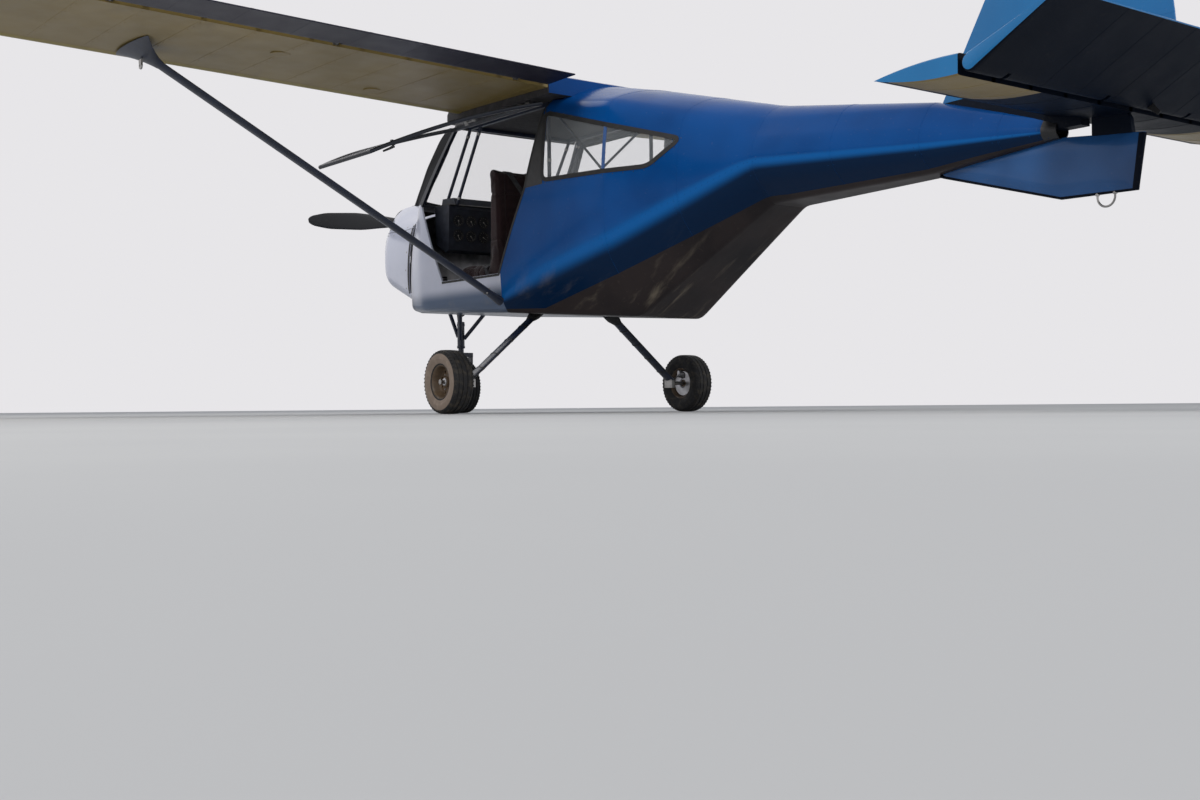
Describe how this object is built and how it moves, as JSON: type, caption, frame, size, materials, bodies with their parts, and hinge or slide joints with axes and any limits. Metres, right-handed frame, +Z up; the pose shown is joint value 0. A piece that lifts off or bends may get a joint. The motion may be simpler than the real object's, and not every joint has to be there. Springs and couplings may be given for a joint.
{
  "type": "ultralight aircraft",
  "caption": "High-wing strut-braced light aircraft with side-by-side cabin, tail boom, tricycle gear, hinged doors and control surfaces.",
  "frame": {"origin": "on the ground, under the middle of the aircraft's length and span", "axes": "+X to the nose, +Y to port, +Z up"},
  "size_m": [6.7185, 9.55, 2.37],
  "materials": {
    "pale_paint": "gloss",
    "blue_paint": "gloss",
    "light_blue_paint": "gloss",
    "bare_sheet": "satin",
    "clear_pane": "gloss",
    "wing_cover": "satin",
    "dark_tube": "satin",
    "dark_plastic": "matte",
    "blade_black": "satin",
    "cast_block": "satin",
    "bare_wire": "satin",
    "upholstery": "matte",
    "rim_metal": "satin",
    "tyre": "matte"
  },
  "bodies": {
    "airframe": {"cabin_tub": "pale_paint", "firewall": "bare_sheet", "rear_fuselage": "blue_paint", "rear_window_port": "clear_pane", "rear_window_starboard": "clear_pane", "tail_boom": "blue_paint", "wing_port": "wing_cover", "wing_starboard": "wing_cover", "roof": "blue_paint", "windscreen": "clear_pane", "screen_pillar_port": "blue_paint", "screen_pillar_starboard": "blue_paint", "cabin_frame": "dark_tube", "instrument_panel": "dark_plastic", "seat_pan": "bare_sheet", "seat_base_port": "upholstery", "seat_base_starboard": "upholstery", "seat_back_port": "upholstery", "seat_back_starboard": "upholstery", "control_stick": "dark_tube", "rudder_pedals": "dark_tube", "cowl": "pale_paint", "engine": "cast_block", "stabiliser": "wing_cover", "fin": "light_blue_paint", "ventral_fin": "light_blue_paint", "tail_loop": "bare_wire", "strut_port": "dark_tube", "strut_starboard": "dark_tube", "tiedown_port": "dark_tube", "tiedown_starboard": "dark_tube", "main_leg_port": "dark_tube", "main_leg_starboard": "dark_tube", "nose_leg": "dark_tube"},
    "propeller": {"propeller": "blade_black", "spinner": "pale_paint"},
    "port_door": {"door_frame_port": "dark_plastic", "door_pane_port": "clear_pane"},
    "starboard_door": {"door_frame_starboard": "dark_plastic", "door_pane_starboard": "clear_pane"},
    "port_flaperon": {"flaperon_port": "wing_cover"},
    "starboard_flaperon": {"flaperon_starboard": "wing_cover"},
    "elevator": {"elevator": "wing_cover"},
    "rudder": {"rudder": "light_blue_paint"},
    "port_wheel": {"rim_port": "rim_metal", "tyre_port": "tyre"},
    "starboard_wheel": {"rim_starboard": "rim_metal", "tyre_starboard": "tyre"},
    "nose_fork": {"nose_fork": "dark_tube"},
    "nose_wheel": {"rim_nose": "rim_metal", "tyre_nose": "tyre"}
  },
  "joints": [
    {"name": "propeller_spin", "type": "hinge", "parent": "airframe", "child": "propeller", "pos_m": [3.16925, 0, 1.467], "axis": [1, 0, 0], "continuous": true},
    {"name": "port_wheel_spin", "type": "hinge", "parent": "airframe", "child": "port_wheel", "pos_m": [1.06925, 0.95, 0.195], "axis": [0, 1, 0], "continuous": true},
    {"name": "starboard_wheel_spin", "type": "hinge", "parent": "airframe", "child": "starboard_wheel", "pos_m": [1.06925, -0.95, 0.195], "axis": [0, 1, 0], "continuous": true},
    {"name": "nose_steer", "type": "hinge", "parent": "airframe", "child": "nose_fork", "pos_m": [2.46925, 0, 0.5], "axis": [0, 0, 1], "range_deg": [-20, 20]},
    {"name": "nose_wheel_spin", "type": "hinge", "parent": "nose_fork", "child": "nose_wheel", "pos_m": [2.46925, 0, 0.19], "axis": [0, 1, 0], "continuous": true},
    {"name": "port_door_lift", "type": "hinge", "parent": "airframe", "child": "port_door", "pos_m": [1.06925, 0.515, 1.892], "axis": [1, 0, 0], "range_deg": [-67, 0]},
    {"name": "starboard_door_lift", "type": "hinge", "parent": "airframe", "child": "starboard_door", "pos_m": [1.06925, -0.515, 1.892], "axis": [-1, 0, 0], "range_deg": [0, 67]},
    {"name": "port_flaperon_hinge", "type": "hinge", "parent": "airframe", "child": "port_flaperon", "pos_m": [0.50119, 0.567, 1.9614], "axis": [0, 0.9996, 0.027], "range_deg": [-20, 15]},
    {"name": "starboard_flaperon_hinge", "type": "hinge", "parent": "airframe", "child": "starboard_flaperon", "pos_m": [0.50119, -0.567, 1.9614], "axis": [0, 0.9996, -0.027], "range_deg": [-20, 15]},
    {"name": "elevator_hinge", "type": "hinge", "parent": "airframe", "child": "elevator", "pos_m": [-2.97275, 0, 1.3], "axis": [0, 1, 0], "range_deg": [-45, 3]},
    {"name": "rudder_hinge", "type": "hinge", "parent": "airframe", "child": "rudder", "pos_m": [-2.73075, 0, 1.9], "axis": [0, 0, 1], "range_deg": [-25, 25]}
  ]
}
